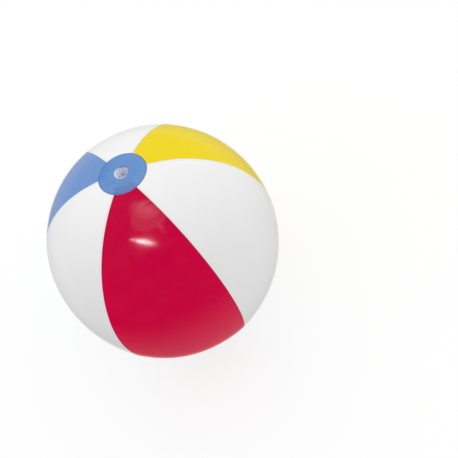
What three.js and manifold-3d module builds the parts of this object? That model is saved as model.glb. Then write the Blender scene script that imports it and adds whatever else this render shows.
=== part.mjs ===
// An inflatable beach ball, blown up and standing on its base disc with the valve at the top.
// Six film gores are lapped and welded along their sides, and a round disc of film closes each
// pole. The valve in the top disc is sunk into the ball, with its stopper pushed in.
// Millimetres, +Z up. The origin is the middle of the flat patch that the ball stands on.

import * as THREE from 'three';
import { mergeVertices } from 'three/addons/utils/BufferGeometryUtils.js';
import Module from 'manifold-3d';

// ---- The ball ----
const EQUATOR_RADIUS = 255;    // at the seams, halfway up
const BODY_STRETCH = 1.076;    // height over width of the ellipsoid under the formula
const POLE_FLATTENING = 0.077; // share of that ellipsoid's radius that is lost at a pole
const POLE_SPREAD = 0.627;     // polar angle over which the flattening fades, in radians
const SEAM_RIDGE = 0.038;      // how far a gore bows from a round arc (0) to a flat chord (1)
const CONTACT_RADIUS = 25;     // flat patch under the ball's weight

// ---- The film ----
const FILM = 0.2;              // thickness of the PVC film
const GAP = 0.3;               // air between pieces that are welded or resting on each other
const LAYER = FILM + GAP;      // step from one lapped layer of film to the next
const SEAM_LAP = 5;            // width of the weld between two gores
const DISC_RADIUS = 50.7;
const DISC_LAP = 7;            // how far the gore tips reach in under a disc
const VALVE_HOLE_RADIUS = 15.5;

// ---- The valve, with heights counted from the top of the top disc ----
const FLANGE_RADIUS = 26;
const FLANGE_BORE_RADIUS = 15;
const FLANGE_THICKNESS = 0.8;
const WEB_TOP = -1;            // the web hangs from the flange's bore
const WEB_TOP_RADIUS = 14.7;
const WEB_THICKNESS = 0.6;
const FOOT_TOP = -14.2;        // ring on the neck that the web is moulded to
const FOOT_THICKNESS = 1.2;
const FOOT_RADIUS = 7;
const RIM = -8.3;              // top of the neck
const RIM_RADIUS = 7.2;
const RIM_THICKNESS = 1.6;
const NECK_BOTTOM = -22;
const NECK_RADIUS = 6.3;
const BORE_RADIUS = 4.5;
const CAP_RADIUS = 6.6;        // the open stopper clears the web
const CAP_THICKNESS = 1.6;
const DIMPLE_RADIUS = 2.6;     // blind hollow in the top of the stopper
const DIMPLE_DEPTH = 4;
const STEM_LENGTH = 5;
const STEM_RADIUS = 4.3;
const STEM_TIP_RADIUS = 3.2;
const TAB_LENGTH = 3.5;        // finger tab on the side away from the strap
const TAB_WIDTH = 6;
const TAB_THICKNESS = 1.1;
const STRAP_WIDTH = 4.5;
const STRAP_THICKNESS = 0.8;
const STRAP_REACH = 10.2;      // distance from the valve's axis to the strap's outer face
const FLAP_RADIUS = 5.7;
const FLAP_THICKNESS = 0.6;
const FLAP_HINGE_RADIUS = 6.3;
const FLAP_TAB_WIDTH = 4;

// ---- Mesh steps ----
const GORE_ROWS = 22;          // between the two disc rims
const GORE_COLUMNS = 8;        // between the two weld laps
const DISC_COLUMNS = 36;
const TURNED_STEPS = 32;
const ARC_STEPS = 8;

// The white gores lie over their coloured neighbours where they lap.
const GORES = [
  { name: 'gore_red', azimuth: 270, colour: 0xc3003a, layer: -LAYER },
  { name: 'gore_white_1', azimuth: 330, colour: 0xececed, layer: 0 },
  { name: 'gore_yellow', azimuth: 30, colour: 0xf3d924, layer: -LAYER },
  { name: 'gore_white_2', azimuth: 90, colour: 0xececed, layer: 0 },
  { name: 'gore_blue', azimuth: 150, colour: 0x6c96d2, layer: -LAYER },
  { name: 'gore_white_3', azimuth: 210, colour: 0xececed, layer: 0 },
];
const HALF_GORE = Math.PI / GORES.length;
const DISC_BLUE = 0x6c96d2;
const VALVE_CLEAR = 0xdfe3e6;

const wasm = await Module();
wasm.setup();

const ball = new THREE.Group();

function addPiece(name, geometry, colour, roughness = 0.2) {
  const material = new THREE.MeshStandardMaterial({ color: colour, roughness, metalness: 0 });
  const mesh = new THREE.Mesh(geometry, material);
  mesh.name = name;
  ball.add(mesh);
  return mesh;
}

// ---- The ball's surface ----

// Distance from the ball's centre to the seams at a polar angle.
function meridianRadius(theta) {
  const ellipsoid = EQUATOR_RADIUS / Math.hypot(Math.sin(theta), Math.cos(theta) / BODY_STRETCH);
  const fromPole = Math.min(theta, Math.PI - theta);
  return ellipsoid * (1 - POLE_FLATTENING * Math.exp(-((fromPole / POLE_SPREAD) ** 2)));
}

// A gore bows out less than a round arc does, so the seams stand a little proud.
function bow(phi) {
  const gore = 2 * HALF_GORE;
  const fromMiddle = ((phi % gore) + gore) % gore - HALF_GORE;
  return 1 - SEAM_RIDGE * (1 - Math.cos(HALF_GORE) / Math.cos(fromMiddle));
}

function polarAngleAt(radius) {
  let theta = 0;
  for (let pass = 0; pass < 20; pass += 1) theta = Math.asin(radius / meridianRadius(theta));
  return theta;
}

const DISC_ANGLE = polarAngleAt(DISC_RADIUS);
const TIP_ANGLE = polarAngleAt(DISC_RADIUS - DISC_LAP);
const CONTACT_ANGLE = polarAngleAt(CONTACT_RADIUS);
const CENTRE_HEIGHT = (meridianRadius(CONTACT_ANGLE) + LAYER) * Math.cos(CONTACT_ANGLE);
const VALVE_TOP = CENTRE_HEIGHT + meridianRadius(0) + LAYER;

// A point at a distance above the ball's surface, flattened where it would go below the floor.
function surfacePoint(theta, phi, above, floor = 0) {
  const radius = meridianRadius(theta) + above;
  const ring = radius * Math.sin(theta) * bow(phi);
  const height = CENTRE_HEIGHT + radius * Math.cos(theta);
  return new THREE.Vector3(ring * Math.cos(phi), ring * Math.sin(phi), Math.max(height, floor));
}

function evenSteps(from, to, count) {
  return Array.from({ length: count + 1 }, (_, step) => from + ((to - from) * step) / count);
}

// ---- A closed sheet of film ----

// pointAt(row, column, side) gives the sheet's points, with side 0 outside and 1 inside. Rows run
// down the ball and columns anticlockwise round it. A sheet that wraps has no side edges.
function filmGeometry(rows, columns, wraps, pointAt) {
  const points = [];
  for (const side of [0, 1]) {
    for (let row = 0; row < rows; row += 1) {
      for (let column = 0; column < columns; column += 1) points.push(pointAt(row, column, side));
    }
  }
  const outer = (row, column) => row * columns + (column % columns);
  const inner = (row, column) => rows * columns + outer(row, column);
  const index = [];
  const triangle = (a, b, c) => {
    const thin = points[a].equals(points[b]) || points[b].equals(points[c]) || points[c].equals(points[a]);
    if (!thin) index.push(a, b, c);
  };
  const quad = (a, b, c, d) => {
    triangle(a, b, c);
    triangle(a, c, d);
  };
  const columnSteps = wraps ? columns : columns - 1;
  for (let row = 0; row < rows - 1; row += 1) {
    for (let column = 0; column < columnSteps; column += 1) {
      quad(outer(row, column), outer(row + 1, column), outer(row + 1, column + 1), outer(row, column + 1));
      quad(inner(row, column), inner(row, column + 1), inner(row + 1, column + 1), inner(row + 1, column));
    }
  }
  const last = rows - 1;
  for (let column = 0; column < columnSteps; column += 1) {
    quad(outer(0, column), outer(0, column + 1), inner(0, column + 1), inner(0, column));
    quad(outer(last, column), inner(last, column), inner(last, column + 1), outer(last, column + 1));
  }
  const edge = columns - 1;
  for (let row = 0; row < rows - 1 && !wraps; row += 1) {
    quad(outer(row, 0), inner(row, 0), inner(row + 1, 0), outer(row + 1, 0));
    quad(outer(row, edge), outer(row + 1, edge), inner(row + 1, edge), inner(row, edge));
  }
  const geometry = new THREE.BufferGeometry().setFromPoints(points);
  geometry.setIndex(index);
  return mergeVertices(geometry);
}

// ---- Gores and discs ----

const GORE_ANGLES = [
  TIP_ANGLE,
  ...evenSteps(DISC_ANGLE, Math.PI - DISC_ANGLE, GORE_ROWS),
  Math.PI - TIP_ANGLE,
];

// Columns across a gore, counted from its middle, with one on each edge of the weld laps.
function goreColumns(theta) {
  const lap = SEAM_LAP / 2 / (meridianRadius(theta) * Math.sin(theta));
  return [
    -HALF_GORE - lap,
    ...evenSteps(-HALF_GORE + lap, HALF_GORE - lap, GORE_COLUMNS),
    HALF_GORE + lap,
  ];
}

function goreGeometry(azimuth, layer) {
  const middle = THREE.MathUtils.degToRad(azimuth);
  return filmGeometry(GORE_ANGLES.length, GORE_COLUMNS + 3, false, (row, column, side) => {
    const theta = GORE_ANGLES[row];
    return surfacePoint(theta, middle + goreColumns(theta)[column], layer - side * FILM);
  });
}

for (const { name, azimuth, colour, layer } of GORES) {
  addPiece(name, goreGeometry(azimuth, layer), colour);
}

// A round piece centred on a pole, through the given polar angles from the top down.
function polarGeometry(angles, above, thickness) {
  return filmGeometry(angles.length, DISC_COLUMNS, true, (row, column, side) => {
    const phi = (column / DISC_COLUMNS) * 2 * Math.PI;
    return surfacePoint(angles[row], phi, above - side * thickness, side * thickness);
  });
}

const valveDiscAngles = [
  VALVE_HOLE_RADIUS,
  FLANGE_RADIUS,
  (FLANGE_RADIUS + DISC_RADIUS - DISC_LAP) / 2,
  DISC_RADIUS - DISC_LAP,
  DISC_RADIUS,
].map(polarAngleAt);
addPiece('valve_disc', polarGeometry(valveDiscAngles, LAYER, FILM), DISC_BLUE);

const baseDiscAngles = [
  DISC_RADIUS,
  DISC_RADIUS - DISC_LAP,
  (CONTACT_RADIUS + DISC_RADIUS - DISC_LAP) / 2,
  CONTACT_RADIUS,
  CONTACT_RADIUS / 2,
  0,
].map((radius) => Math.PI - polarAngleAt(radius));
addPiece('base_disc', polarGeometry(baseDiscAngles, LAYER, FILM), DISC_BLUE);

// ---- Valve ----

const flangeAngles = [FLANGE_BORE_RADIUS, FLANGE_RADIUS].map(polarAngleAt);
addPiece('valve_flange', polarGeometry(flangeAngles, LAYER - FILM - GAP, FLANGE_THICKNESS), VALVE_CLEAR);

// Turns an outline of [radius, height] points, given anticlockwise, about the valve's axis.
function turned(outline) {
  const points = outline.map(([radius, height]) => new THREE.Vector2(radius, height));
  return new THREE.LatheGeometry(points, TURNED_STEPS).rotateX(Math.PI / 2);
}

function closed(outline) {
  return [...outline, outline[0]];
}

// The web is a bowl of thin, soft PVC. It rolls inside out when the neck is pulled up.
function webOutline() {
  const foot = FOOT_TOP - FOOT_THICKNESS / 2;
  const topMiddle = WEB_TOP_RADIUS - WEB_THICKNESS / 2;
  const footMiddle = FOOT_RADIUS + GAP;
  const middleLine = evenSteps(0, Math.PI / 2, ARC_STEPS).map((angle) => ({
    radius: footMiddle + (topMiddle - footMiddle) * Math.cos(angle),
    height: WEB_TOP + (foot - WEB_TOP) * Math.sin(angle),
    outward: angle,
  }));
  const faceAt = (side) => ({ radius, height, outward }) => [
    radius + side * (WEB_THICKNESS / 2) * Math.cos(outward),
    height - side * (WEB_THICKNESS / 2) * Math.sin(outward),
  ];
  const insideFace = middleLine.map(faceAt(-1));
  const outsideFace = middleLine.map(faceAt(1)).reverse();
  return closed([...outsideFace, ...insideFace]);
}

// The neck is a short tube with a bead round its rim and a foot ring that the web joins.
function neckOutline() {
  return closed([
    [BORE_RADIUS, NECK_BOTTOM],
    [NECK_RADIUS, NECK_BOTTOM],
    [NECK_RADIUS, FOOT_TOP - FOOT_THICKNESS],
    [FOOT_RADIUS, FOOT_TOP - FOOT_THICKNESS],
    [FOOT_RADIUS, FOOT_TOP],
    [NECK_RADIUS, FOOT_TOP],
    [NECK_RADIUS, RIM - RIM_THICKNESS],
    [RIM_RADIUS, RIM - RIM_THICKNESS],
    [RIM_RADIUS, RIM],
    [BORE_RADIUS, RIM],
  ]);
}

// The stem narrows on a curve, so that it can swing out of the bore about the strap.
function stopperOutline() {
  const capBottom = RIM + GAP;
  const capTop = capBottom + CAP_THICKNESS;
  const stem = evenSteps(1, 0, ARC_STEPS).map((share) => [
    STEM_RADIUS - (STEM_RADIUS - STEM_TIP_RADIUS) * share ** 2,
    RIM - STEM_LENGTH * share,
  ]);
  return [
    [0, RIM - STEM_LENGTH],
    ...stem,
    [STEM_RADIUS, capBottom],
    [CAP_RADIUS - GAP, capBottom],
    [CAP_RADIUS, capBottom + GAP],
    [CAP_RADIUS, capTop - 2 * GAP],
    [CAP_RADIUS - 2 * GAP, capTop],
    [DIMPLE_RADIUS, capTop],
    [DIMPLE_RADIUS * 0.8, capTop - DIMPLE_DEPTH],
    [0, capTop - DIMPLE_DEPTH],
  ];
}

// A plate with one round end on the valve's axis and a square end reaching out along X.
function tongueGeometry(radius, reach, width, thickness) {
  const bend = Math.asin(width / 2 / radius);
  const shape = new THREE.Shape();
  shape.absarc(0, 0, radius, bend, 2 * Math.PI - bend, false);
  shape.lineTo(reach, -width / 2);
  shape.lineTo(reach, width / 2);
  return new THREE.ExtrudeGeometry(shape, {
    depth: thickness,
    curveSegments: TURNED_STEPS,
    bevelEnabled: false,
  });
}

function toSolid(geometry) {
  const bare = geometry.clone();
  bare.deleteAttribute('normal');
  bare.deleteAttribute('uv');
  const merged = mergeVertices(bare);
  const triVerts = [];
  for (let at = 0; at < merged.index.count; at += 3) {
    const [a, b, c] = merged.index.array.slice(at, at + 3);
    if (a !== b && b !== c && c !== a) triVerts.push(a, b, c);
  }
  return new wasm.Manifold(new wasm.Mesh({
    numProp: 3,
    vertProperties: merged.attributes.position.array,
    triVerts: new Uint32Array(triVerts),
  }));
}

function toGeometry(solid) {
  const { vertProperties, triVerts } = solid.getMesh();
  const geometry = new THREE.BufferGeometry();
  geometry.setAttribute('position', new THREE.BufferAttribute(vertProperties, 3));
  geometry.setIndex(new THREE.BufferAttribute(triVerts, 1));
  return geometry;
}

function stopperGeometry() {
  const tab = tongueGeometry(CAP_RADIUS - 1, CAP_RADIUS + TAB_LENGTH, TAB_WIDTH, TAB_THICKNESS);
  tab.translate(0, 0, RIM + GAP);
  const dimpleRoom = new THREE.CylinderGeometry(STEM_RADIUS, STEM_RADIUS, CAP_THICKNESS, TURNED_STEPS);
  dimpleRoom.rotateX(Math.PI / 2).translate(0, 0, RIM + GAP + CAP_THICKNESS / 2);
  const tabOnly = toSolid(tab).subtract(toSolid(dimpleRoom));
  return toGeometry(toSolid(turned(stopperOutline())).add(tabOnly));
}

// The strap is a soft loop from the side of the neck's rim up to the side of the cap.
function strapGeometry() {
  const low = RIM - RIM_THICKNESS / 2;
  const high = RIM + GAP + CAP_THICKNESS / 2;
  const loopMiddle = (low + high) / 2;
  const outerRadius = (high - low + STRAP_THICKNESS) / 2;
  const innerRadius = outerRadius - STRAP_THICKNESS;
  const bend = STRAP_REACH - outerRadius;
  const shape = new THREE.Shape();
  shape.moveTo(-CAP_RADIUS - GAP, loopMiddle + outerRadius);
  shape.absarc(-bend, loopMiddle, outerRadius, Math.PI / 2, 1.5 * Math.PI, false);
  shape.lineTo(-RIM_RADIUS - GAP, loopMiddle - outerRadius);
  shape.lineTo(-RIM_RADIUS - GAP, loopMiddle - innerRadius);
  shape.absarc(-bend, loopMiddle, innerRadius, 1.5 * Math.PI, Math.PI / 2, true);
  shape.lineTo(-CAP_RADIUS - GAP, loopMiddle + innerRadius);
  const strap = new THREE.ExtrudeGeometry(shape, {
    depth: STRAP_WIDTH,
    curveSegments: ARC_STEPS,
    bevelEnabled: false,
  });
  return strap.translate(0, 0, -STRAP_WIDTH / 2).rotateX(Math.PI / 2);
}

function flapGeometry() {
  const flap = tongueGeometry(FLAP_RADIUS, FLAP_HINGE_RADIUS, FLAP_TAB_WIDTH, FLAP_THICKNESS);
  return flap.rotateZ(Math.PI).translate(0, 0, NECK_BOTTOM - GAP - FLAP_THICKNESS);
}

const valvePieces = [
  addPiece('valve_web', turned(webOutline()), VALVE_CLEAR),
  addPiece('valve_neck', turned(neckOutline()), VALVE_CLEAR),
  addPiece('stopper', stopperGeometry(), VALVE_CLEAR),
  addPiece('stopper_strap', strapGeometry(), VALVE_CLEAR),
  addPiece('check_flap', flapGeometry(), VALVE_CLEAR),
];
for (const piece of valvePieces) piece.position.z = VALVE_TOP;

export default ball;
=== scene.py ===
"""Looks for the inflatable beach ball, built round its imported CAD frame.

Dense smooth film replaces the faceted gores and discs, and detailed mouldings replace the valve.
Everything is in metres, in the frame of the CAD: +Z up the polar axis, floor at z = 0.
"""

import math

import bpy
import numpy as np
from mathutils import Matrix, Vector


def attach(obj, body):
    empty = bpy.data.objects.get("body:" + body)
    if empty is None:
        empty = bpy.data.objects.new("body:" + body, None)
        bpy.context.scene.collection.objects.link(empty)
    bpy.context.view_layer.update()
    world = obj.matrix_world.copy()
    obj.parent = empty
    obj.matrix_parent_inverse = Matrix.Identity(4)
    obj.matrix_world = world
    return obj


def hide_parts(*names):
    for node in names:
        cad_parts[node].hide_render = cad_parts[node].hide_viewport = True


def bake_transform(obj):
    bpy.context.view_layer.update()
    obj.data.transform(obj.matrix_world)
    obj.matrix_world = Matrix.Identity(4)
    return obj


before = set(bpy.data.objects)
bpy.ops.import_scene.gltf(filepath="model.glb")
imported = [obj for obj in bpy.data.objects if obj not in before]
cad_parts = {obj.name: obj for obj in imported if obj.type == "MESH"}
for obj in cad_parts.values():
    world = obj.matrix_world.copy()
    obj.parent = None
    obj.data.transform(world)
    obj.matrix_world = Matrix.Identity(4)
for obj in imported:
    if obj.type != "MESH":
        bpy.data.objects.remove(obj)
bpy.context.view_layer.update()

MM = 0.001

# ---- Camera: the photograph's viewing angle ----

CAMERA_TARGET = Vector((0, 0, 0.25284))  # the ball's centre
CAMERA_BACK = Vector((0.1678, -0.5923, 0.788))
CAMERA_UP = Vector((0.3126, 0.7901, 0.5273))
CAMERA_DISTANCE = 1.4614
CAMERA_SENSOR = 36  # width in millimetres
CAMERA_LENS = 51.46
CAMERA_SHIFT = (0.1434, 0.0278)


def camera_way(x, y, z):
    """A direction given along the camera's right, up and back."""
    back = CAMERA_BACK.normalized()
    right = CAMERA_UP.cross(back).normalized()
    return right * x + back.cross(right) * y + back * z


def make_camera():
    data = bpy.data.cameras.new("camera")
    data.sensor_width = CAMERA_SENSOR
    data.lens = CAMERA_LENS
    data.shift_x, data.shift_y = CAMERA_SHIFT
    camera = bpy.data.objects.new("camera", data)
    back = camera_way(0, 0, 1)
    turn = Matrix((camera_way(1, 0, 0), camera_way(0, 1, 0), back)).transposed().to_4x4()
    camera.matrix_world = Matrix.Translation(CAMERA_TARGET + back * CAMERA_DISTANCE) @ turn
    bpy.context.scene.collection.objects.link(camera)
    bpy.context.scene.camera = camera


make_camera()

# ---- The ball's shape, as in the CAD ----

EQUATOR_RADIUS = 255 * MM  # at the seams, halfway up
BODY_STRETCH = 1.076  # height over width of the ellipsoid under the formula
POLE_FLATTENING = 0.077  # share of that ellipsoid's radius that is lost at a pole
POLE_SPREAD = 0.627  # polar angle over which the flattening fades
SEAM_RIDGE = 0.038  # how far a gore bows from a round arc (0) to a flat chord (1)
CONTACT_RADIUS = 25 * MM  # of the flat patch under the ball
LAYER = 0.5 * MM  # what the layers of film add over the seams
FILM = 0.2 * MM
SEAM_LAP = 5 * MM
DISC_RADIUS = 50.7 * MM
TIP_RADIUS = 43.7 * MM  # where the gore tips end under a disc
HOLE_RADIUS = 14.9 * MM  # the soft film reaches in over the edge of the flange's bore
FLANGE_RADIUS = 26 * MM
FLANGE_BORE = 15.3 * MM
FLANGE_THICKNESS = 0.8 * MM
HALF_GORE = math.pi / 6

# Heights of the layers above the surface, closer together than the CAD's, as welded film lies
WHITE_TOP = 0.0
COLOUR_TOP = -0.23 * MM
FLANGE_TOP = -0.25 * MM
DISC_GAP = 0.04 * MM
EMBOSS = 0.15 * MM  # the disc stands this much higher over the flange

# Name, azimuth of the middle in degrees, film, and height of the outer face
GORES = [
    ("gore_red", 270, "film_red", COLOUR_TOP),
    ("gore_white_1", 330, "film_white", WHITE_TOP),
    ("gore_yellow", 30, "film_yellow", COLOUR_TOP),
    ("gore_white_2", 90, "film_white", WHITE_TOP),
    ("gore_blue", 150, "film_blue", COLOUR_TOP),
    ("gore_white_3", 210, "film_white", WHITE_TOP),
]


def meridian_radius(theta):
    """Distance from the ball's centre to the seams at a polar angle."""
    ellipsoid = EQUATOR_RADIUS / np.hypot(np.sin(theta), np.cos(theta) / BODY_STRETCH)
    from_pole = np.minimum(theta, np.pi - theta)
    return ellipsoid * (1 - POLE_FLATTENING * np.exp(-((from_pole / POLE_SPREAD) ** 2)))


def bow(phi):
    """A gore bows out less than a round arc, so the seams stand a little proud."""
    from_middle = np.mod(phi, 2 * HALF_GORE) - HALF_GORE
    return 1 - SEAM_RIDGE * (1 - math.cos(HALF_GORE) / np.cos(from_middle))


def polar_angle(radius):
    theta = 0.0
    for _ in range(20):  # far more rounds than it takes to settle
        theta = math.asin(radius / meridian_radius(theta))
    return theta


TIP_ANGLE = polar_angle(TIP_RADIUS)
CONTACT_ANGLE = polar_angle(CONTACT_RADIUS)
CENTRE_HEIGHT = (meridian_radius(CONTACT_ANGLE) + LAYER) * math.cos(CONTACT_ANGLE)
VALVE_TOP = CENTRE_HEIGHT + meridian_radius(0) + LAYER


def smooth_step(low, high, x):
    t = np.clip((x - low) / (high - low), 0, 1)
    return t * t * (3 - 2 * t)


# ---- Relief of the blown-up film ----

PUCKER_HEIGHT = 0.13 * MM
PUCKER_PEAK = 9 * MM  # from the weld
PUCKER_WAVES = ((21 * MM, 1.0), (33 * MM, 0.6), (13 * MM, 0.4))  # length and share of each
PUCKER_CREST = 1.4  # about how high the three reach together
CALM_BAND = 40 * MM  # round a disc, where the puckers and the swell fade in
RIM_PUCKER_HEIGHT = 0.07 * MM
RIM_PUCKER_PEAK = 5 * MM  # from the disc's rim
RIM_PUCKER_WAVES = ((28, 1.0), (19, 0.7))  # waves round the disc and share of each
SWELL_HEIGHT = 0.35 * MM
SWELL_TURNS = (7, 8, 9, 11, 13)
SWELL_CREST = 3  # about how high the five reach together
FLOOR_SOFTNESS = 0.12 * MM  # of the bend where the film meets the floor

random = np.random.default_rng(51)
pucker_phase = random.uniform(0, 2 * np.pi, (2 * len(GORES), len(PUCKER_WAVES)))
swell_axes = random.normal(size=(len(SWELL_TURNS), 3))
swell_axes /= np.linalg.norm(swell_axes, axis=1, keepdims=True)
swell_phase = random.uniform(0, 2 * np.pi, len(SWELL_TURNS))
rim_phase = random.uniform(0, 2 * np.pi, len(RIM_PUCKER_WAVES))


def relief(theta, phi):
    """Height of the film's gentle waves: puckers beside the welds and a broad, slight swell."""
    ring = meridian_radius(theta) * np.sin(theta)
    along = meridian_radius(theta) * theta
    sector = np.mod(phi, 2 * np.pi) / HALF_GORE  # a seam at each even number
    side = np.floor(sector).astype(int) % len(pucker_phase)
    to_seam = np.minimum(np.mod(sector, 2), 2 - np.mod(sector, 2)) * HALF_GORE * ring
    off = np.maximum(to_seam - SEAM_LAP / 2, 0) / PUCKER_PEAK
    phase = pucker_phase[side]
    waves = sum(
        share * np.cos(2 * np.pi * along / length + phase[..., number])
        for number, (length, share) in enumerate(PUCKER_WAVES)
    )
    from_disc = np.maximum(ring - DISC_RADIUS, 0)
    fade = smooth_step(0, CALM_BAND, from_disc)
    height = PUCKER_HEIGHT * fade * off * np.exp(1 - off) * waves / PUCKER_CREST
    from_rim = from_disc / RIM_PUCKER_PEAK
    ruffle = sum(
        share * np.cos(count * phi + shift)
        for (count, share), shift in zip(RIM_PUCKER_WAVES, rim_phase)
    )
    height = height + RIM_PUCKER_HEIGHT * from_rim * np.exp(1 - from_rim) * ruffle * (1 - fade)
    way = np.stack(
        [np.sin(theta) * np.cos(phi), np.sin(theta) * np.sin(phi), np.cos(theta)], -1
    )
    for axis, shift, turns in zip(swell_axes, swell_phase, SWELL_TURNS):
        swell = np.cos(turns * (way @ axis) + shift)
        height = height + SWELL_HEIGHT / SWELL_CREST * fade * swell
    return height


def surface(theta, phi, above, floor=0.0):
    """Points at a height above the ball's surface, flattened softly at the floor's height."""
    radius = meridian_radius(theta) + above + relief(theta, phi)
    ring = radius * np.sin(theta) * bow(phi)
    height = CENTRE_HEIGHT + radius * np.cos(theta) - floor
    height = floor + (height + np.hypot(height, FLOOR_SOFTNESS)) / 2
    return np.stack([ring * np.cos(phi), ring * np.sin(phi), height], -1)


# ---- Meshes ----

SHARP_ANGLE = math.radians(38)


def add_mesh(name, points, faces, uv=None):
    mesh = bpy.data.meshes.new(name)
    mesh.from_pydata(np.asarray(points, float).tolist(), [], faces)
    if uv is not None:
        corners = np.empty(len(mesh.loops), np.int32)
        mesh.loops.foreach_get("vertex_index", corners)
        layer = mesh.uv_layers.new(name="film")
        layer.data.foreach_set("uv", uv[corners].astype(np.float32).ravel())
    return finish_mesh(name, mesh)


def finish_mesh(name, mesh):
    mesh.polygons.foreach_set("use_smooth", np.ones(len(mesh.polygons), bool))
    mesh.set_sharp_from_angle(angle=SHARP_ANGLE)
    mesh.update()
    piece = bpy.data.objects.new(name, mesh)
    bpy.context.scene.collection.objects.link(piece)
    return piece


def film_piece(name, outer, inner, wraps=True, uv=None, pole=None):
    """A closed sheet of film. Rows run down the ball and columns anticlockwise round it.

    wraps joins the last column to the first. pole is the outer and inner point that close the
    last row, on a sheet that covers a pole.
    """
    rows, columns = outer.shape[:2]
    points = [outer.reshape(-1, 3), inner.reshape(-1, 3)]
    number = np.arange(rows * columns).reshape(rows, columns)
    if wraps:
        number = np.concatenate([number, number[:, :1]], axis=1)
    lower = number + rows * columns
    faces = np.concatenate(
        [
            np.stack([number[:-1, :-1], number[1:, :-1], number[1:, 1:], number[:-1, 1:]], -1),
            np.stack([lower[:-1, :-1], lower[:-1, 1:], lower[1:, 1:], lower[1:, :-1]], -1),
        ]
    ).reshape(-1, 4)
    strips = [np.stack([number[0, :-1], number[0, 1:], lower[0, 1:], lower[0, :-1]], -1)]
    if pole is None:
        strips.append(
            np.stack([number[-1, :-1], lower[-1, :-1], lower[-1, 1:], number[-1, 1:]], -1)
        )
    if not wraps:
        strips.append(np.stack([number[:-1, 0], lower[:-1, 0], lower[1:, 0], number[1:, 0]], -1))
        strips.append(
            np.stack([number[:-1, -1], number[1:, -1], lower[1:, -1], lower[:-1, -1]], -1)
        )
    faces = np.concatenate([faces, *strips]).tolist()
    if pole is not None:
        points.append(np.array(pole))
        top = 2 * rows * columns
        for column in range(number.shape[1] - 1):
            faces.append([number[-1, column], top, number[-1, column + 1]])
            faces.append([lower[-1, column], lower[-1, column + 1], top + 1])
    return add_mesh(name, np.concatenate(points), faces, uv)


GORE_ROWS = 300
GORE_COLUMNS = 48


def gore_piece(name, azimuth, top):
    theta = np.linspace(TIP_ANGLE, np.pi - TIP_ANGLE, GORE_ROWS)[:, None]
    lap = SEAM_LAP / 2 / (meridian_radius(theta) * np.sin(theta))
    inside = HALF_GORE * np.sin(np.linspace(-np.pi / 2, np.pi / 2, GORE_COLUMNS + 1))
    inside = np.broadcast_to(inside, (GORE_ROWS, GORE_COLUMNS + 1))
    across = np.concatenate(
        [-HALF_GORE - lap, -HALF_GORE - lap / 2, inside, HALF_GORE + lap / 2, HALF_GORE + lap],
        axis=1,
    )
    phi = math.radians(azimuth) + across
    theta = np.broadcast_to(theta, phi.shape)
    outer = surface(theta, phi, top)
    inner = surface(theta, phi, top - FILM)
    ring = meridian_radius(theta) * np.sin(theta)
    from_edge = (HALF_GORE + lap - np.abs(across)) * ring
    along = meridian_radius(theta) * theta
    uv = np.stack([from_edge, along], -1).reshape(-1, 2)
    return film_piece(name, outer, inner, wraps=False, uv=np.concatenate([uv, uv]))


DISC_COLUMNS = 180
RING_STEP = 0.7 * MM
LAP_STEP = 1.5 * MM  # how far a disc takes to come down from the edge of a white gore
TIP_STEP = (TIP_RADIUS - 2.2 * MM, TIP_RADIUS - 0.2 * MM)  # where it climbs on to the gore tips
FLANGE_STEP = (FLANGE_RADIUS + 0.2 * MM, FLANGE_RADIUS + 2 * MM)  # where it leaves the flange
WELD_IN = (21.6 * MM, 22.2 * MM)  # the two edges of the groove pressed in by the flange's weld
WELD_OUT = (24.4 * MM, 25 * MM)
WELD_DEPTH = 0.06 * MM


def stack_top(ring, phi):
    """Top of the layers under a disc, never lower than they are."""
    from_seam = np.abs(np.mod(phi + HALF_GORE, 2 * HALF_GORE) - HALF_GORE)
    coloured = np.mod(np.floor(np.mod(phi, 2 * np.pi) / (2 * HALF_GORE)), 2) == 0
    outside = np.where(coloured, from_seam * ring, 0) - SEAM_LAP / 2
    gore = WHITE_TOP + (COLOUR_TOP - WHITE_TOP) * smooth_step(0, LAP_STEP, outside)
    return FLANGE_TOP + (gore - FLANGE_TOP) * smooth_step(*TIP_STEP, ring)


def disc_rings(first, last):
    """The radii of a disc's evenly spaced rings."""
    count = int(round(abs(last - first) / RING_STEP))
    return np.linspace(first, last, count + 1)


def polar_grid(rings, columns):
    """Polar angle, azimuth and radius of each point of a round sheet at the valve's pole."""
    theta = np.array([polar_angle(r) for r in rings])[:, None]
    phi = np.linspace(0, 2 * np.pi, columns, endpoint=False)[None, :]
    return np.broadcast_arrays(theta, phi, rings[:, None])


def valve_disc_piece():
    theta, phi, ring = polar_grid(disc_rings(HOLE_RADIUS, DISC_RADIUS), DISC_COLUMNS)
    raised = 1 - smooth_step(*FLANGE_STEP, ring)
    pressed = smooth_step(*WELD_IN, ring) - smooth_step(*WELD_OUT, ring)
    under = stack_top(ring, phi) + EMBOSS * raised + DISC_GAP - WELD_DEPTH * pressed
    outer = surface(theta, phi, under + FILM)
    inner = surface(theta, phi, under)
    return film_piece("valve_disc_film", outer, inner)


def base_disc_piece():
    theta, phi, ring = polar_grid(disc_rings(DISC_RADIUS, RING_STEP), DISC_COLUMNS)
    under = stack_top(ring, phi) + DISC_GAP
    outer = surface(np.pi - theta, phi, under + FILM)
    inner = surface(np.pi - theta, phi, under, FILM)
    pole = [(0, 0, outer[-1, :, 2].mean()), (0, 0, inner[-1, :, 2].mean())]
    return film_piece("base_disc_film", outer, inner, pole=pole)


# ---- Materials ----

NOISE_SPAN = (0.3, 0.7)  # most of a noise texture's values lie in here


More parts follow.
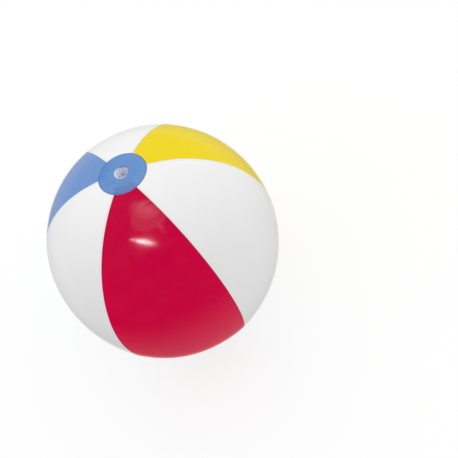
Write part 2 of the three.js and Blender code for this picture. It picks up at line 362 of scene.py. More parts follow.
class Tree:
    """Short names for adding and joining shader nodes."""

    def __init__(self, tree):
        self.tree = tree
        tree.nodes.clear()

    def node(self, kind, settings=None, **inputs):
        made = self.tree.nodes.new("ShaderNode" + kind)
        for key, value in (settings or {}).items():
            setattr(made, key, value)
        for key, value in inputs.items():
            self.put(made.inputs[key.replace("_", " ")], value)
        return made

    def put(self, socket, value):
        if isinstance(value, bpy.types.NodeSocket):
            self.tree.links.new(value, socket)
        else:
            socket.default_value = value

    def math(self, operation, a, b=0.0):
        made = self.node("Math", {"operation": operation})
        self.put(made.inputs[0], a)
        self.put(made.inputs[1], b)
        return made.outputs[0]

    def step(self, value, low, high, to_low=0.0, to_high=1.0):
        """A smooth step from one level to the other as the value goes from low to high."""
        made = self.node("MapRange", {"interpolation_type": "SMOOTHSTEP"})
        for socket, given in zip(made.inputs, (value, low, high, to_low, to_high)):
            self.put(socket, given)
        return made.outputs[0]

    def mix(self, share, a, b, blend="MIX"):
        made = self.node("Mix", {"data_type": "RGBA", "blend_type": blend})
        self.put(made.inputs[0], share)
        self.put(made.inputs[6], a)
        self.put(made.inputs[7], b)
        return made.outputs[2]

    def mix_value(self, share, a, b):
        made = self.node("Mix", {"data_type": "FLOAT"})
        for socket, value in zip((0, 2, 3), (share, a, b)):
            self.put(made.inputs[socket], value)
        return made.outputs[0]

    def noise(self, vector, scale, detail=2.0, roughness=0.5):
        made = self.node(
            "TexNoise", Vector=vector, Scale=scale, Detail=detail, Roughness=roughness
        )
        return made.outputs[0]

    def drift(self, vector, scale, detail, low, high):
        """A value that wanders between two ends."""
        return self.step(self.noise(vector, scale, detail), *NOISE_SPAN, low, high)

    def bump(self, height, distance, normal=None):
        made = self.node("Bump", Height=height, Distance=distance, Strength=1.0)
        if normal is not None:
            self.put(made.inputs["Normal"], normal)
        return made.outputs[0]

    def dot(self, vector, direction):
        made = self.node("VectorMath", {"operation": "DOT_PRODUCT"})
        self.put(made.inputs[0], vector)
        self.put(made.inputs[1], direction)
        return made.outputs["Value"]

    def line(self, value, start, peak, end=None):
        """1 at the peak, fading to 0 at the start and at the end, if there is one."""
        rise = self.step(value, start, peak)
        if end is None:
            return rise
        return self.math("SUBTRACT", rise, self.step(value, peak, end))

    def stripes(self, value, length):
        """A wave of this length along the value."""
        return self.math("SINE", self.math("MULTIPLY", value, 2 * math.pi / length))


def rgba(colour):
    return (*colour, 1.0)


def shaded(colour, factor):
    return (*[c * factor for c in colour], 1.0)


def new_material(name):
    material = bpy.data.materials.new(name)
    material.use_nodes = True
    return material, Tree(material.node_tree)


# Each roughness is a noise's scale and detail, then the two ends that it wanders between
FILM_ROUGHNESS = (35.0, 4.0, 0.1, 0.15)
FILM_IOR = 1.5
BLOOM_ROUGHNESS = 0.6
# Painted light and shade along a gore, standing in for the light from above: over these distances
# the colour's factor goes from its value by the valve to its value far from it
PAINTED_SHADING_FADE = (50 * MM, 300 * MM)  # from the valve pole
PEEL_SCALE = 420.0  # of the fine orange peel in the film
DENT_SCALE = 60.0
PEEL_SHARE = 0.35  # of its height beside the broader dents
FILM_BUMP = 0.03 * MM
FILM_CLOUDS = (0.97, 1.03)  # shades of the colour, here and below
FILM_CLOUD_NOISE = (9.0, 3.0)
LAP_SHADE = 0.97
LAP_RIB = 1.3 * MM  # between the fine ribs along a lap
LAP_RIB_BUMP = 0.015 * MM
LAP_FADE = (SEAM_LAP - 0.4 * MM, SEAM_LAP)  # distances from a gore's edge
# Painted shadow on a coloured film, beside the edge of the white film that laps over it
SHADOW_SHADE = 0.7
SHADOW_FADE = (SEAM_LAP + 0.3 * MM, SEAM_LAP + 1.3 * MM)


def film_material(name, colour, depth, bloom, laps_over):
    """Glossy PVC film with its weld bands. The white film laps over the coloured film, on which a
    painted shadow lies beside the white film's edge.

    depth is painted light and shade: the factor on the colour by the valve and beyond the equator,
    standing in for how the light from above falls on it, and bloom is the weight and tint of the
    sheen.
    """
    material, t = new_material(name)
    place = t.node("TexCoord").outputs["Object"]
    cloud = t.noise(place, *FILM_CLOUD_NOISE)
    paint = t.mix(cloud, *[shaded(colour, shade) for shade in FILM_CLOUDS])
    peel = t.noise(place, PEEL_SCALE)
    dent = t.noise(place, DENT_SCALE, 1.0)
    normal = t.bump(t.math("ADD", t.math("MULTIPLY", peel, PEEL_SHARE), dent), FILM_BUMP)
    rough = t.drift(place, *FILM_ROUGHNESS)
    parts = t.node("SeparateXYZ", Vector=t.node("UVMap", {"uv_map": "film"}).outputs[0])
    edge, along = parts.outputs[0], parts.outputs[1]
    # Painted light and shade: the colour is scaled along the gore by the two depth factors
    painted_shading = t.step(along, *PAINTED_SHADING_FADE, *depth)
    painted_shading = t.node("CombineXYZ", X=painted_shading, Y=painted_shading, Z=painted_shading)
    paint = t.mix(1.0, paint, painted_shading.outputs[0], "MULTIPLY")
    if laps_over:
        band = t.math("SUBTRACT", 1.0, t.step(edge, *LAP_FADE))
        paint = t.mix(band, paint, shaded(colour, LAP_SHADE))
        ribs = t.math("MULTIPLY", t.stripes(along, LAP_RIB), band)
        normal = t.bump(ribs, LAP_RIB_BUMP, normal)
    else:
        # Painted shadow beside the edge of the white film that laps over this one
        band = t.math("SUBTRACT", 1.0, t.step(edge, *SHADOW_FADE))
        paint = t.mix(band, paint, shaded(colour, SHADOW_SHADE))
    shader = t.node(
        "BsdfPrincipled", Base_Color=paint, Roughness=rough, Normal=normal, IOR=FILM_IOR
    )
    shader.inputs["Sheen Weight"].default_value = bloom[0]
    shader.inputs["Sheen Roughness"].default_value = BLOOM_ROUGHNESS
    shader.inputs["Sheen Tint"].default_value = rgba(bloom[1])
    t.node("OutputMaterial", Surface=shader.outputs[0])
    return material


RED = (0.635, 0.0, 0.052)
WHITE = (0.885, 0.885, 0.886)
YELLOW = (0.9, 0.69, 0.012)
BLUE = (0.14, 0.293, 0.625)

NO_TINT = (1.0, 1.0, 1.0)
OVER_BLUE = (0.72, 0.88, 0.95)
OVER_RED = (0.95, 0.74, 0.8)
# What shows through a disc, round from +X as a share of a turn
TINTS = [
    (0.0, NO_TINT),
    (0.31, NO_TINT),
    (0.36, OVER_BLUE),
    (0.48, OVER_BLUE),
    (0.53, NO_TINT),
    (0.65, NO_TINT),
    (0.68, OVER_RED),
    (0.82, OVER_RED),
    (0.85, NO_TINT),
]

DISC_CLOUDS = (0.92, 1.12)
DISC_CLOUD_NOISE = (28.0, 4.0, 0.6)
DISC_ROUGHNESS = (70.0, 4.0, 0.2, 0.3)
DISC_BUMP = 0.02 * MM
RING_WAVE = 3.1 * MM  # between the faint rings in a disc
RING_WAVE_BUMP = 0.012 * MM

# The lines on a disc: where each is, how strong it is, and its shade of the blue
OUTLINE = ((DISC_RADIUS - 2.2 * MM, DISC_RADIUS - 1.2 * MM), 0.75, 0.6)
# Painted highlight: a lighter line along the step where the disc climbs on to the gore tips
TIP_HIGHLIGHT = ((TIP_RADIUS - 1.6 * MM, TIP_RADIUS - 0.7 * MM, TIP_RADIUS + 0.2 * MM), 0.6, 1.35)
FLANGE_LINE = (
    (FLANGE_RADIUS - 0.6 * MM, FLANGE_RADIUS + 0.4 * MM, FLANGE_RADIUS + 1.6 * MM),
    0.6,
    0.72,
)


def disc_material(name, over_flange):
    """The blue film of a disc, which lets the gore tips under its rim show through a little."""
    material, t = new_material(name)
    place = t.node("TexCoord").outputs["Object"]
    parts = t.node("SeparateXYZ", Vector=place)
    x, y = parts.outputs[0], parts.outputs[1]
    flat = t.node("CombineXYZ", X=x, Y=y)
    ring = t.node("VectorMath", {"operation": "LENGTH"}, Vector=flat.outputs[0]).outputs["Value"]
    turn = t.math("DIVIDE", t.math("ARCTAN2", y, x), 2 * math.pi)
    turn = t.math("FRACT", t.math("ADD", turn, 1.0))
    ramp = t.node("ValToRGB", Fac=turn)
    while len(ramp.color_ramp.elements) < len(TINTS):
        ramp.color_ramp.elements.new(1.0)
    for element, (position, tint) in zip(ramp.color_ramp.elements, TINTS):
        element.position = position
        element.color = rgba(tint)
    cloud = t.noise(place, *DISC_CLOUD_NOISE)
    paint = t.mix(cloud, *[shaded(BLUE, shade) for shade in DISC_CLOUDS])
    paint = t.mix(t.step(ring, FLANGE_RADIUS, TIP_RADIUS), paint, ramp.outputs[0], "MULTIPLY")
    lines = [OUTLINE, TIP_HIGHLIGHT]
    if over_flange:
        lines.append(FLANGE_LINE)
    for span, strength, shade in lines:
        line = t.math("MULTIPLY", t.line(ring, *span), strength)
        paint = t.mix(line, paint, shaded(BLUE, shade))
    normal = t.bump(t.noise(place, PEEL_SCALE), DISC_BUMP)
    normal = t.bump(t.stripes(ring, RING_WAVE), RING_WAVE_BUMP, normal)
    rough = t.drift(place, *DISC_ROUGHNESS)
    shader = t.node(
        "BsdfPrincipled", Base_Color=paint, Roughness=rough, Normal=normal, IOR=FILM_IOR
    )
    t.node("OutputMaterial", Surface=shader.outputs[0])
    return material


MOULDING_ROUGHNESS = (300.0, 2.0, 0.16, 0.26)
MOULDING_IOR = 1.53
MOULDING_CLOUD_NOISE = (160.0, 3.0)
MOULDING_PEEL_SCALE = 900.0
MOULDING_BUMP = 0.02 * MM
# Painted shade on the web: a blue-tinted shade on one side of the recess, as if from the disc's
# blue film
PAINTED_SHADE_WAY = (0.89, 0.45, 0.0)
PAINTED_SHADE_SPREAD = (-8 * MM, 12 * MM)  # along PAINTED_SHADE_WAY from the valve's axis
# Painted shadow darkening the web's mouth on that side, under the edge of the disc's hole
MOUTH_SHADOW_SPREAD = (-4 * MM, 8 * MM)
MOUTH_SHADOW_FADE = (VALVE_TOP - 4 * MM, VALVE_TOP - 1 * MM)  # the heights where the mouth darkens
MOUTH_SHADOW_SHADE = 0.75  # of the disc's blue


def moulding_material(name, dark, light, clearness, painted_shade_tint=None):
    """Soft, slightly milky PVC of the valve's moulding.

    The last argument is a painted shade: a blue-tinted shade painted on one side of the web, with a
    painted shadow at its mouth on that side, under the edge of the disc's hole.
    """
    material, t = new_material(name)
    place = t.node("TexCoord").outputs["Object"]
    paint = t.mix(t.noise(place, *MOULDING_CLOUD_NOISE), rgba(dark), rgba(light))
    if painted_shade_tint:
        across = t.dot(place, PAINTED_SHADE_WAY)
        height = t.node("SeparateXYZ", Vector=place).outputs[2]
        paint = t.mix(t.step(across, *PAINTED_SHADE_SPREAD), paint, rgba(painted_shade_tint))
        mouth_shadow = t.step(height, *MOUTH_SHADOW_FADE)
        mouth_shadow = t.math("MULTIPLY", mouth_shadow, t.step(across, *MOUTH_SHADOW_SPREAD))
        paint = t.mix(mouth_shadow, paint, shaded(BLUE, MOUTH_SHADOW_SHADE))
    rough = t.drift(place, *MOULDING_ROUGHNESS)
    normal = t.bump(t.noise(place, MOULDING_PEEL_SCALE), MOULDING_BUMP)
    shader = t.node(
        "BsdfPrincipled", Base_Color=paint, Roughness=rough, Normal=normal, IOR=MOULDING_IOR
    )
    shader.inputs["Transmission Weight"].default_value = clearness
    t.node("OutputMaterial", Surface=shader.outputs[0])
    return material


# Colour, then depth (painted light and shade by the valve and beyond the equator) and bloom as
# film_material takes them
FILM_LOOKS = {
    "film_red": (RED, (0.85, 1.05), (1.0, (1.0, 0.0, 0.06))),
    "film_white": (WHITE, (1.03, 0.98), (1.0, (1.0, 1.0, 1.0))),
    "film_yellow": (YELLOW, (1.0, 1.0), (0.3, (1.0, 0.85, 0.2))),
    "film_blue": (BLUE, (0.99, 0.99), (0.4, (0.68, 0.75, 1.0))),
}
FILMS = {
    name: film_material(name, *look, laps_over=(name == "film_white"))
    for name, look in FILM_LOOKS.items()
}
VALVE_DISC_FILM = disc_material("valve_disc_film", over_flange=True)
BASE_DISC_FILM = disc_material("base_disc_film", over_flange=False)
MOULDING = moulding_material("valve_pvc", (0.93, 0.92, 0.95), (0.97, 0.96, 0.985), 0.04)
# The web gets painted shade: a blue-tinted shade on one side and a painted shadow at its mouth
WEB_PVC = moulding_material(
    "web_pvc", (0.96, 0.955, 0.98), (0.98, 0.975, 0.99), 0.0, painted_shade_tint=(0.74, 0.78, 0.94)
)
# Clearer PVC for the stopper and strap: its clearness is real, and its darker, bluer colour than
# valve_pvc's is painted shade
SHADED_CLEAR_MOULDING = moulding_material("valve_pvc_clear_shaded", (0.55, 0.58, 0.85), (0.66, 0.7, 0.93), 0.35)


def place_piece(piece, node, material, body=None):
    piece.data.materials.append(material)
    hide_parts(node)
    if body:
        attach(piece, body)
    return piece


for gore_name, gore_azimuth, gore_slot, gore_top in GORES:
    gore = gore_piece(gore_name + "_film", gore_azimuth, gore_top)
    place_piece(gore, gore_name, FILMS[gore_slot], "ball")

place_piece(valve_disc_piece(), "valve_disc", VALVE_DISC_FILM, "ball")
place_piece(base_disc_piece(), "base_disc", BASE_DISC_FILM, "ball")

# ---- Valve ----

WEB_TOP_RADIUS = 15.2 * MM
WEB_THICKNESS = 0.6 * MM
FOOT_TOP = -14.2 * MM
FOOT_THICKNESS = 1.2 * MM
FOOT_RADIUS = 7 * MM
RIM = -8.3 * MM
RIM_RADIUS = 7.2 * MM
RIM_THICKNESS = 1.6 * MM
NECK_BOTTOM = -22 * MM
NECK_RADIUS = 6.3 * MM
BORE_RADIUS = 4.5 * MM
GAP = 0.3 * MM
CAP_RADIUS = 6.6 * MM  # leaves room for it to swing inside the web
CAP_THICKNESS = 1.6 * MM
DIMPLE_RADIUS = 2.6 * MM
DIMPLE_END_RADIUS = 0.8 * DIMPLE_RADIUS
DIMPLE_DEPTH = 4 * MM
PIN_RADIUS = 1.3 * MM  # the round pin left standing in the stopper's hollow
PIN_DEPTH = 0.3 * MM
STEM_LENGTH = 5 * MM
STEM_RADIUS = 4.3 * MM
STEM_TIP_RADIUS = 3.2 * MM
TAB_REACH = 10.5 * MM
TAB_WIDTH = 6 * MM
TAB_THICKNESS = 1.1 * MM
TAB_ROOT = 1.5 * MM  # how far it runs into the cap
TAB_CORNER = 2 * MM
TAB_EDGE = 0.3 * MM  # how far its edges are taken off, as are the strap's and the flap's
STRAP_WIDTH = 4.5 * MM
STRAP_THICKNESS = 0.8 * MM
STRAP_EDGE = 0.3 * MM
STRAP_REACH = 10.2 * MM
FLAP_RADIUS = 5.7 * MM
FLAP_THICKNESS = 0.6 * MM
FLAP_EDGE = 0.12 * MM
FLAP_HINGE_RADIUS = 6.3 * MM
FLAP_TAB_WIDTH = 4 * MM
HINGE_THICKNESS = 0.5 * MM  # the thin wall that the flap bends on
ROOT = 0.1 * MM  # how far the strap and the hinge stand in what holds them

TURN_STEPS = 144
WEB_STEPS = 40
STEM_STEPS = 12
STRAP_STEPS = 25
FLAP_STEPS = 64
CORNER_STEPS = 4
TAB_CORNER_STEPS = 8
CORNER_SHARE = 0.49  # the most of a side that the curve at one of its ends takes
BEVEL_ANGLE = math.radians(40)  # sharper edges than this are bevelled


def rounded(outline, radius, closed=True, steps=CORNER_STEPS):
    """An outline with its corners rounded off, by one radius or by a list of one for each."""
    count = len(outline)
    radii = [radius] * count if isinstance(radius, float) else radius
    points = []
    for at, corner in enumerate(outline):
        here = np.array(corner, float)
        if radii[at] == 0 or (not closed and at in (0, count - 1)):
            points.append(tuple(here))
            continue
        before = np.array(outline[at - 1], float) - here
        after = np.array(outline[(at + 1) % count], float) - here
        shorter = min(np.linalg.norm(before), np.linalg.norm(after))
        reach = min(radii[at], CORNER_SHARE * shorter)
        start = here + before / np.linalg.norm(before) * reach
        end = here + after / np.linalg.norm(after) * reach
        for share in np.linspace(0, 1, steps + 1):
            curve = (1 - share) ** 2 * start + 2 * share * (1 - share) * here + share**2 * end
            points.append(tuple(curve))
    return points


def turned_mesh(name, outline, closed=True):
    """Turns an outline of (radius, height), anticlockwise, about the valve's axis."""
    angles = np.linspace(0, 2 * np.pi, TURN_STEPS, endpoint=False)
    points, rings = [], []
    for radius, height in outline:
        first = len(points)
        if radius == 0:
            points.append((0, 0, height))
            rings.append([first] * TURN_STEPS)
        else:
            points += [(radius * math.cos(a), radius * math.sin(a), height) for a in angles]
            rings.append(list(range(first, first + TURN_STEPS)))
    faces = []
    pairs = list(zip(rings, rings[1:])) + ([(rings[-1], rings[0])] if closed else [])
    for low, high in pairs:
        for at in range(TURN_STEPS):
            following = (at + 1) % TURN_STEPS
            corners = [low[at], low[following], high[following], high[at]]
            face = list(dict.fromkeys(corners))
            if len(face) > 2:
                faces.append(face)
    mesh = bpy.data.meshes.new(name)
    mesh.from_pydata(points, [], faces)
    return mesh


def plate_mesh(name, outline, low, high):
    """A flat plate between two heights, from an outline of (x, y), anticlockwise."""
    count = len(outline)
    points = [(x, y, low) for x, y in outline] + [(x, y, high) for x, y in outline]
    faces = [list(range(count))[::-1], list(range(count, 2 * count))]
    faces += [[a, (a + 1) % count, count + (a + 1) % count, count + a] for a in range(count)]
    mesh = bpy.data.meshes.new(name)
    mesh.from_pydata(points, [], faces)
    return mesh


def with_modifiers(mesh, add):
    """The mesh after the modifiers that add puts on it."""
    holder = bpy.data.objects.new(mesh.name, mesh)
    bpy.context.scene.collection.objects.link(holder)
    add(holder)
    graph = bpy.context.evaluated_depsgraph_get()
    made = bpy.data.meshes.new_from_object(holder.evaluated_get(graph))
    bpy.data.objects.remove(holder)
    return made


def bevelled(mesh, width):
    def add(holder):
        bevel = holder.modifiers.new("bevel", "BEVEL")
        bevel.width = width
        bevel.segments = 2
        bevel.angle_limit = BEVEL_ANGLE

    return with_modifiers(mesh, add)


def united(mesh, other):
    tool = bpy.data.objects.new("tool", other)
    bpy.context.scene.collection.objects.link(tool)

    def add(holder):
        union = holder.modifiers.new("union", "BOOLEAN")
        union.operation = "UNION"
        union.solver = "EXACT"
        union.object = tool

    made = with_modifiers(mesh, add)
    bpy.data.objects.remove(tool)
    return made


def raise_to_valve(mesh):
    mesh.transform(Matrix.Translation((0, 0, VALVE_TOP)))
    return mesh


FLANGE_RINGS = 17
FLANGE_GAP = 0.03 * MM  # between the flange and the disc over it
FLANGE_TAPER = (2 * MM, 0.1 * MM)  # how wide its thinner rim is, and how much each side drops


def flange_piece():
    rings = np.linspace(FLANGE_BORE, FLANGE_RADIUS, FLANGE_RINGS)
    theta, phi, ring = polar_grid(rings, TURN_STEPS)
    top = FLANGE_TOP + EMBOSS - FLANGE_GAP
    width, depth = FLANGE_TAPER
    drop = depth * smooth_step(FLANGE_RADIUS - width, FLANGE_RADIUS, ring)
    outer = surface(theta, phi, top - drop)
    inner = surface(theta, phi, top - FLANGE_THICKNESS + drop)
    return film_piece("valve_flange_moulding", outer, inner)


PLEATS = 24
PLEAT_HEIGHT = 0.22 * MM
WAIST = 0.25  # the share by which the web is thinner at its waist
ROLL_HEIGHT = 0.07 * MM  # of the soft rings round the web
ROLL_TURNS = 14


def web_mesh():
    """The soft bowl that the neck hangs in, thinner at its waist than at its ends."""
    foot = FOOT_TOP - FOOT_THICKNESS / 2
    top = FLANGE_TOP
    top_radius = WEB_TOP_RADIUS - WEB_THICKNESS / 2
    faces = [[], []]
    for angle in np.linspace(0, math.pi / 2, WEB_STEPS):
        radius = FOOT_RADIUS + (top_radius - FOOT_RADIUS) * math.cos(angle)
        height = top + (foot - top) * math.sin(angle)
        half = WEB_THICKNESS / 2 * (1 - WAIST * math.sin(2 * angle))
        roll = ROLL_HEIGHT * math.sin(angle * ROLL_TURNS) * math.sin(2 * angle)
        for side, face in ((1, faces[0]), (-1, faces[1])):
            face.append(
                (
                    radius + (side * half + roll) * math.cos(angle),
                    height - (side * half + roll) * math.sin(angle),
                )
            )
    mesh = turned_mesh("valve_web_moulding", faces[0][::-1] + faces[1])
    for point in mesh.vertices:
        x, y, z = point.co
        depth = (top - z) / (top - foot)
        pleat = PLEAT_HEIGHT * math.sin(math.pi * min(max(depth, 0), 1)) ** 2
        point.co *= 1 + pleat * math.cos(PLEATS * math.atan2(y, x)) / math.hypot(x, y)
        point.co.z = z
    return mesh


def neck_mesh():
    outline = [
        (BORE_RADIUS, NECK_BOTTOM),
        (NECK_RADIUS, NECK_BOTTOM),
        (NECK_RADIUS, FOOT_TOP - FOOT_THICKNESS),
        (FOOT_RADIUS, FOOT_TOP - FOOT_THICKNESS),
        (FOOT_RADIUS, FOOT_TOP),
        (NECK_RADIUS, FOOT_TOP),
        (NECK_RADIUS, RIM - RIM_THICKNESS),
        (RIM_RADIUS, RIM - RIM_THICKNESS),
        (RIM_RADIUS, RIM),
        (BORE_RADIUS, RIM),
    ]
    radii = [0.35, 0.35, 0.3, 0.3, 0.3, 0.4, 0.4, 0.7, 0.7, 0.5]  # of its corners, in mm
    return turned_mesh("valve_neck_moulding", rounded(outline, [r * MM for r in radii]))


RIDGES = 3  # across the tab, for grip
RIDGE_STEP = 0.9 * MM
RIDGE_START = 0.8 * MM  # from the cap to the first
RIDGE_SIZE = (0.4 * MM, 3.8 * MM)
RIDGE_HEIGHT = 0.2 * MM
RIDGE_ROOT = 0.3 * MM  # how deep it stands in the tab
RIDGE_CORNER = 0.18 * MM
RIDGE_EDGE = 0.08 * MM


def box_outline(x_low, x_high, width):
    """A rectangle's corners, anticlockwise, its middle on the X axis."""
    half = width / 2
    return [(x_low, -half), (x_high, -half), (x_high, half), (x_low, half)]


def tab_mesh(bottom):
    """The stopper's finger tab, with its ridges."""
    top = bottom + TAB_THICKNESS
    outline = box_outline(CAP_RADIUS - TAB_ROOT, TAB_REACH, TAB_WIDTH)
    outline = rounded(outline, [0.0, TAB_CORNER, TAB_CORNER, 0.0], steps=TAB_CORNER_STEPS)
    tab = bevelled(plate_mesh("tab", outline, bottom, top), TAB_EDGE)
    thick, length = RIDGE_SIZE
    for number in range(RIDGES):
        middle = CAP_RADIUS + RIDGE_START + RIDGE_STEP * number
        ridge = box_outline(middle - thick / 2, middle + thick / 2, length)
        ridge = rounded(ridge, RIDGE_CORNER)
        bar = plate_mesh("ridge", ridge, top - RIDGE_ROOT, top + RIDGE_HEIGHT)
        tab = united(tab, bevelled(bar, RIDGE_EDGE))
    return tab


def stopper_mesh():
    bottom = RIM + GAP
    top = bottom + CAP_THICKNESS
    outline = [(0, RIM - STEM_LENGTH), (STEM_TIP_RADIUS, RIM - STEM_LENGTH)]
    for share in np.linspace(1, 0, STEM_STEPS)[1:]:
        radius = STEM_RADIUS - (STEM_RADIUS - STEM_TIP_RADIUS) * share**2
        outline.append((radius, RIM - STEM_LENGTH * share))
    radii = [0.0, 0.6] + [0.0] * (STEM_STEPS - 1)  # of its corners, in mm
    outline += [
        (STEM_RADIUS, bottom),
        (CAP_RADIUS, bottom),
        (CAP_RADIUS, top),
        (DIMPLE_RADIUS, top),
        (DIMPLE_END_RADIUS, top - DIMPLE_DEPTH),
        (PIN_RADIUS, top - DIMPLE_DEPTH),
        (PIN_RADIUS, top - PIN_DEPTH),
        (0, top - PIN_DEPTH),
    ]
    radii += [0.15, 0.3, 0.9, 0.6, 0.4, 0.2, 0.8, 0.0]
    outline = rounded(outline, [r * MM for r in radii], closed=False)
    body = turned_mesh("stopper_moulding", outline, closed=False)
    return united(body, tab_mesh(bottom))


def strap_mesh():
    """The loop that ties the cap to the neck, with rounded edges and moulded roots."""
    low = RIM - RIM_THICKNESS / 2
    high = RIM + GAP + CAP_THICKNESS / 2
    middle = (low + high) / 2
    radius = (high - low) / 2
    bend = STRAP_REACH - radius - STRAP_THICKNESS / 2
    path = [(-CAP_RADIUS + ROOT, high, 0.0)]
    for angle in np.linspace(math.pi / 2, 1.5 * math.pi, STRAP_STEPS):
        x = -bend + radius * math.cos(angle)
        path.append((x, middle + radius * math.sin(angle), angle - math.pi / 2))
    path.append((-RIM_RADIUS + ROOT, low, math.pi))
    section = box_outline(-STRAP_WIDTH / 2, STRAP_WIDTH / 2, STRAP_THICKNESS)
    section = rounded(section, STRAP_EDGE)
    points, count = [], len(section)
    for x, z, turn in path:
        for across, out in section:
            points.append((x - out * math.sin(turn), across, z + out * math.cos(turn)))
    faces = [list(range(count)), list(range(len(points) - count, len(points)))[::-1]]
    for row in range(len(path) - 1):
        for at in range(count):
            following = (at + 1) % count
            here, there = row * count, (row + 1) * count
            faces.append([here + at, there + at, there + following, here + following])
    mesh = bpy.data.meshes.new("stopper_strap_moulding")
    mesh.from_pydata(points, [], faces)
    return mesh


def flap_mesh():
    angle = math.asin(FLAP_TAB_WIDTH / 2 / FLAP_RADIUS)
    outline = [
        (-FLAP_RADIUS * math.cos(a), -FLAP_RADIUS * math.sin(a))
        for a in np.linspace(angle, 2 * math.pi - angle, FLAP_STEPS)
    ]
    outline += [(-FLAP_HINGE_RADIUS, FLAP_TAB_WIDTH / 2), (-FLAP_HINGE_RADIUS, -FLAP_TAB_WIDTH / 2)]
    high = NECK_BOTTOM - GAP
    plate = plate_mesh("check_flap_moulding", outline, high - FLAP_THICKNESS, high)
    hinge = box_outline(-FLAP_HINGE_RADIUS, -FLAP_HINGE_RADIUS + HINGE_THICKNESS, FLAP_TAB_WIDTH)
    hinge = plate_mesh("hinge", hinge, high - FLAP_THICKNESS / 2, NECK_BOTTOM + ROOT)
    return united(bevelled(plate, FLAP_EDGE), hinge)


def valve_piece(mesh, node, body=None, material=MOULDING):
    piece = finish_mesh(node + "_moulding", raise_to_valve(mesh))
    return place_piece(piece, node, material, body)


place_piece(flange_piece(), "valve_flange", MOULDING, "ball")
web = valve_piece(web_mesh(), "valve_web", None, WEB_PVC)
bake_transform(web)
valve_piece(neck_mesh(), "valve_neck", "neck")
valve_piece(stopper_mesh(), "stopper", "stopper", SHADED_CLEAR_MOULDING)
strap = valve_piece(strap_mesh(), "stopper_strap", None, SHADED_CLEAR_MOULDING)
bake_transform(strap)
flap = valve_piece(flap_mesh(), "check_flap")
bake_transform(flap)

# ---- Floor and light ----

FLOOR_REACH = 80.0
FLOOR_DROP = 0.02 * MM
FLOOR_GREYS = (0.2, 0.21)
FLOOR_GLOW = 0.79


def make_floor():
    corners = box_outline(-FLOOR_REACH, FLOOR_REACH, 2 * FLOOR_REACH)
    mesh = bpy.data.meshes.new("floor")
    mesh.from_pydata([(x, y, 0) for x, y in corners], [], [[0, 1, 2, 3]])
    floor = bpy.data.objects.new("floor", mesh)
    floor.location.z = -FLOOR_DROP
    bpy.context.scene.collection.objects.link(floor)
    material, t = new_material("floor")
    cloud = t.noise(t.node("TexCoord").outputs["Object"], 3.0)
    dark, light = [rgba((grey, grey, grey)) for grey in FLOOR_GREYS]
    paint = t.mix(cloud, dark, light)
    shader = t.node("BsdfPrincipled", Base_Color=paint, Roughness=1.0)
    shader.inputs["Specular IOR Level"].default_value = 0.0
    shader.inputs["Emission Color"].default_value = (1, 1, 1, 1)
    shader.inputs["Emission Strength"].default_value = FLOOR_GLOW
    t.node("OutputMaterial", Surface=shader.outputs[0])
    mesh.materials.append(material)
    floor.visible_glossy = False
    floor.visible_diffuse = False


SKY_LEVEL = 1.06
SKY_SLOPE = (0.15, -0.12, 0.67)  # how diffuse light grows towards +X, +Y and +Z
SKY_DIP = 1.15  # how much weaker it is along the line of sight than across it
SKY_LEAST = 0.02
BACKDROP_LEVEL = 0.99
TABLE_WAY = (-0.167, 0.575, -0.8)  # towards the brightly lit part of the table

# What the gloss reflects, by direction: where it fades from the first number to the second
TABLE_FADE = (-0.35, -0.95)  # heights
TABLE_LEVEL = 0.36
TABLE_SIDE = (-0.6, 0.5, 0.5, 1.15)  # weaker at the left than at the right
BRIGHT_FADE = (0.83, 0.97)  # cosines of the angle from TABLE_WAY
BRIGHT_LEVEL = 1.15
WALL_FADE = (0.15, 0.65)  # towards +Y
WALL_TOP_FADE = (0.25, -0.1)
WALL_LEVEL = 0.3
CARD_WAY = (-0.85, 0.31, -0.42)
CARD_FADE = (0.86, 0.97)
CARD_LEVEL = 0.5
ROOM_LEVEL = 0.006


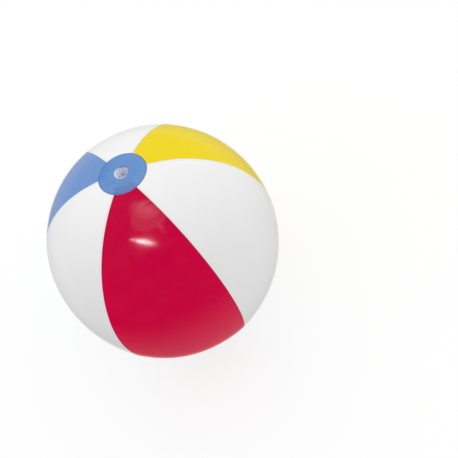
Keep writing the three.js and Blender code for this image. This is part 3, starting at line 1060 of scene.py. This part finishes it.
def make_world():
    world = bpy.data.worlds.new("studio")
    bpy.context.scene.world = world
    world.use_nodes = True
    world.cycles.sampling_method = "NONE"
    t = Tree(world.node_tree)
    way = t.node("TexCoord").outputs["Generated"]
    parts = t.node("SeparateXYZ", Vector=way)
    path = t.node("LightPath")

    dip = t.math("POWER", t.math("ABSOLUTE", t.dot(way, CAMERA_BACK)), 2.0)
    sky = t.math("ADD", SKY_LEVEL, t.dot(way, SKY_SLOPE))
    sky = t.math("SUBTRACT", sky, t.math("MULTIPLY", dip, SKY_DIP))
    sky = t.math("MAXIMUM", sky, SKY_LEAST)
    table = t.step(parts.outputs[2], *TABLE_FADE, 0.0, TABLE_LEVEL)
    table = t.math("MULTIPLY", table, t.step(t.dot(way, camera_way(1, 0, 0)), *TABLE_SIDE))
    wall = t.step(parts.outputs[1], *WALL_FADE, 0.0, WALL_LEVEL)
    wall = t.math("MULTIPLY", wall, t.step(parts.outputs[2], *WALL_TOP_FADE))
    bright = t.step(t.dot(way, TABLE_WAY), *BRIGHT_FADE, ROOM_LEVEL, BRIGHT_LEVEL)
    card = t.step(t.dot(way, CARD_WAY), *CARD_FADE, 0.0, CARD_LEVEL)
    mirror = t.math("MAXIMUM", t.math("MAXIMUM", table, wall), t.math("MAXIMUM", bright, card))
    level = t.mix_value(path.outputs["Is Glossy Ray"], sky, mirror)
    level = t.mix_value(path.outputs["Is Camera Ray"], level, BACKDROP_LEVEL)
    background = t.node("Background", Color=(1, 1, 1, 1), Strength=level)
    t.node("OutputWorld", Surface=background.outputs[0])


LAMP_DISTANCE = 2.0  # from the ball's centre

# Name, direction from the ball, width and depth, power, and turn in degrees
LAMPS = [
    ("overhead", (0.0, 0.02, 1), (0.6, 0.22), 0.3, -50),
    ("overhead_soft", (0.0, 0.0, 1), (0.95, 0.5), 0.7, -50),
    ("overhead_glow", (0.02, -0.15, 0.97), (0.95, 0.95), 1.2, 0),
    ("overhead_edge", (0.16, -0.37, 0.9), (0.07, 0.42), 0.09, 0),
    ("front", camera_way(-0.3, 0.018, 0.954), (0.84, 0.1), 2.2, -24),
    ("front_core", camera_way(-0.29, 0.018, 0.954), (0.5, 0.07), 2.6, -24),
]


def add_lamp(name, direction, size, energy, turn):
    """A soft lamp that only the gloss shows."""
    data = bpy.data.lights.new(name, "AREA")
    data.shape = "ELLIPSE"
    data.size, data.size_y = size
    data.energy = energy
    lamp = bpy.data.objects.new(name, data)
    way = Vector(direction).normalized()
    place = Matrix.Translation(CAMERA_TARGET + way * LAMP_DISTANCE)
    aim = way.to_track_quat("Z", "Y").to_matrix().to_4x4()
    lamp.matrix_world = place @ aim @ Matrix.Rotation(math.radians(turn), 4, "Z")
    lamp.visible_camera = False
    lamp.visible_diffuse = False
    bpy.context.scene.collection.objects.link(lamp)


make_floor()
make_world()
for lamp in LAMPS:
    add_lamp(*lamp)

bpy.context.scene.view_settings.view_transform = "Standard"
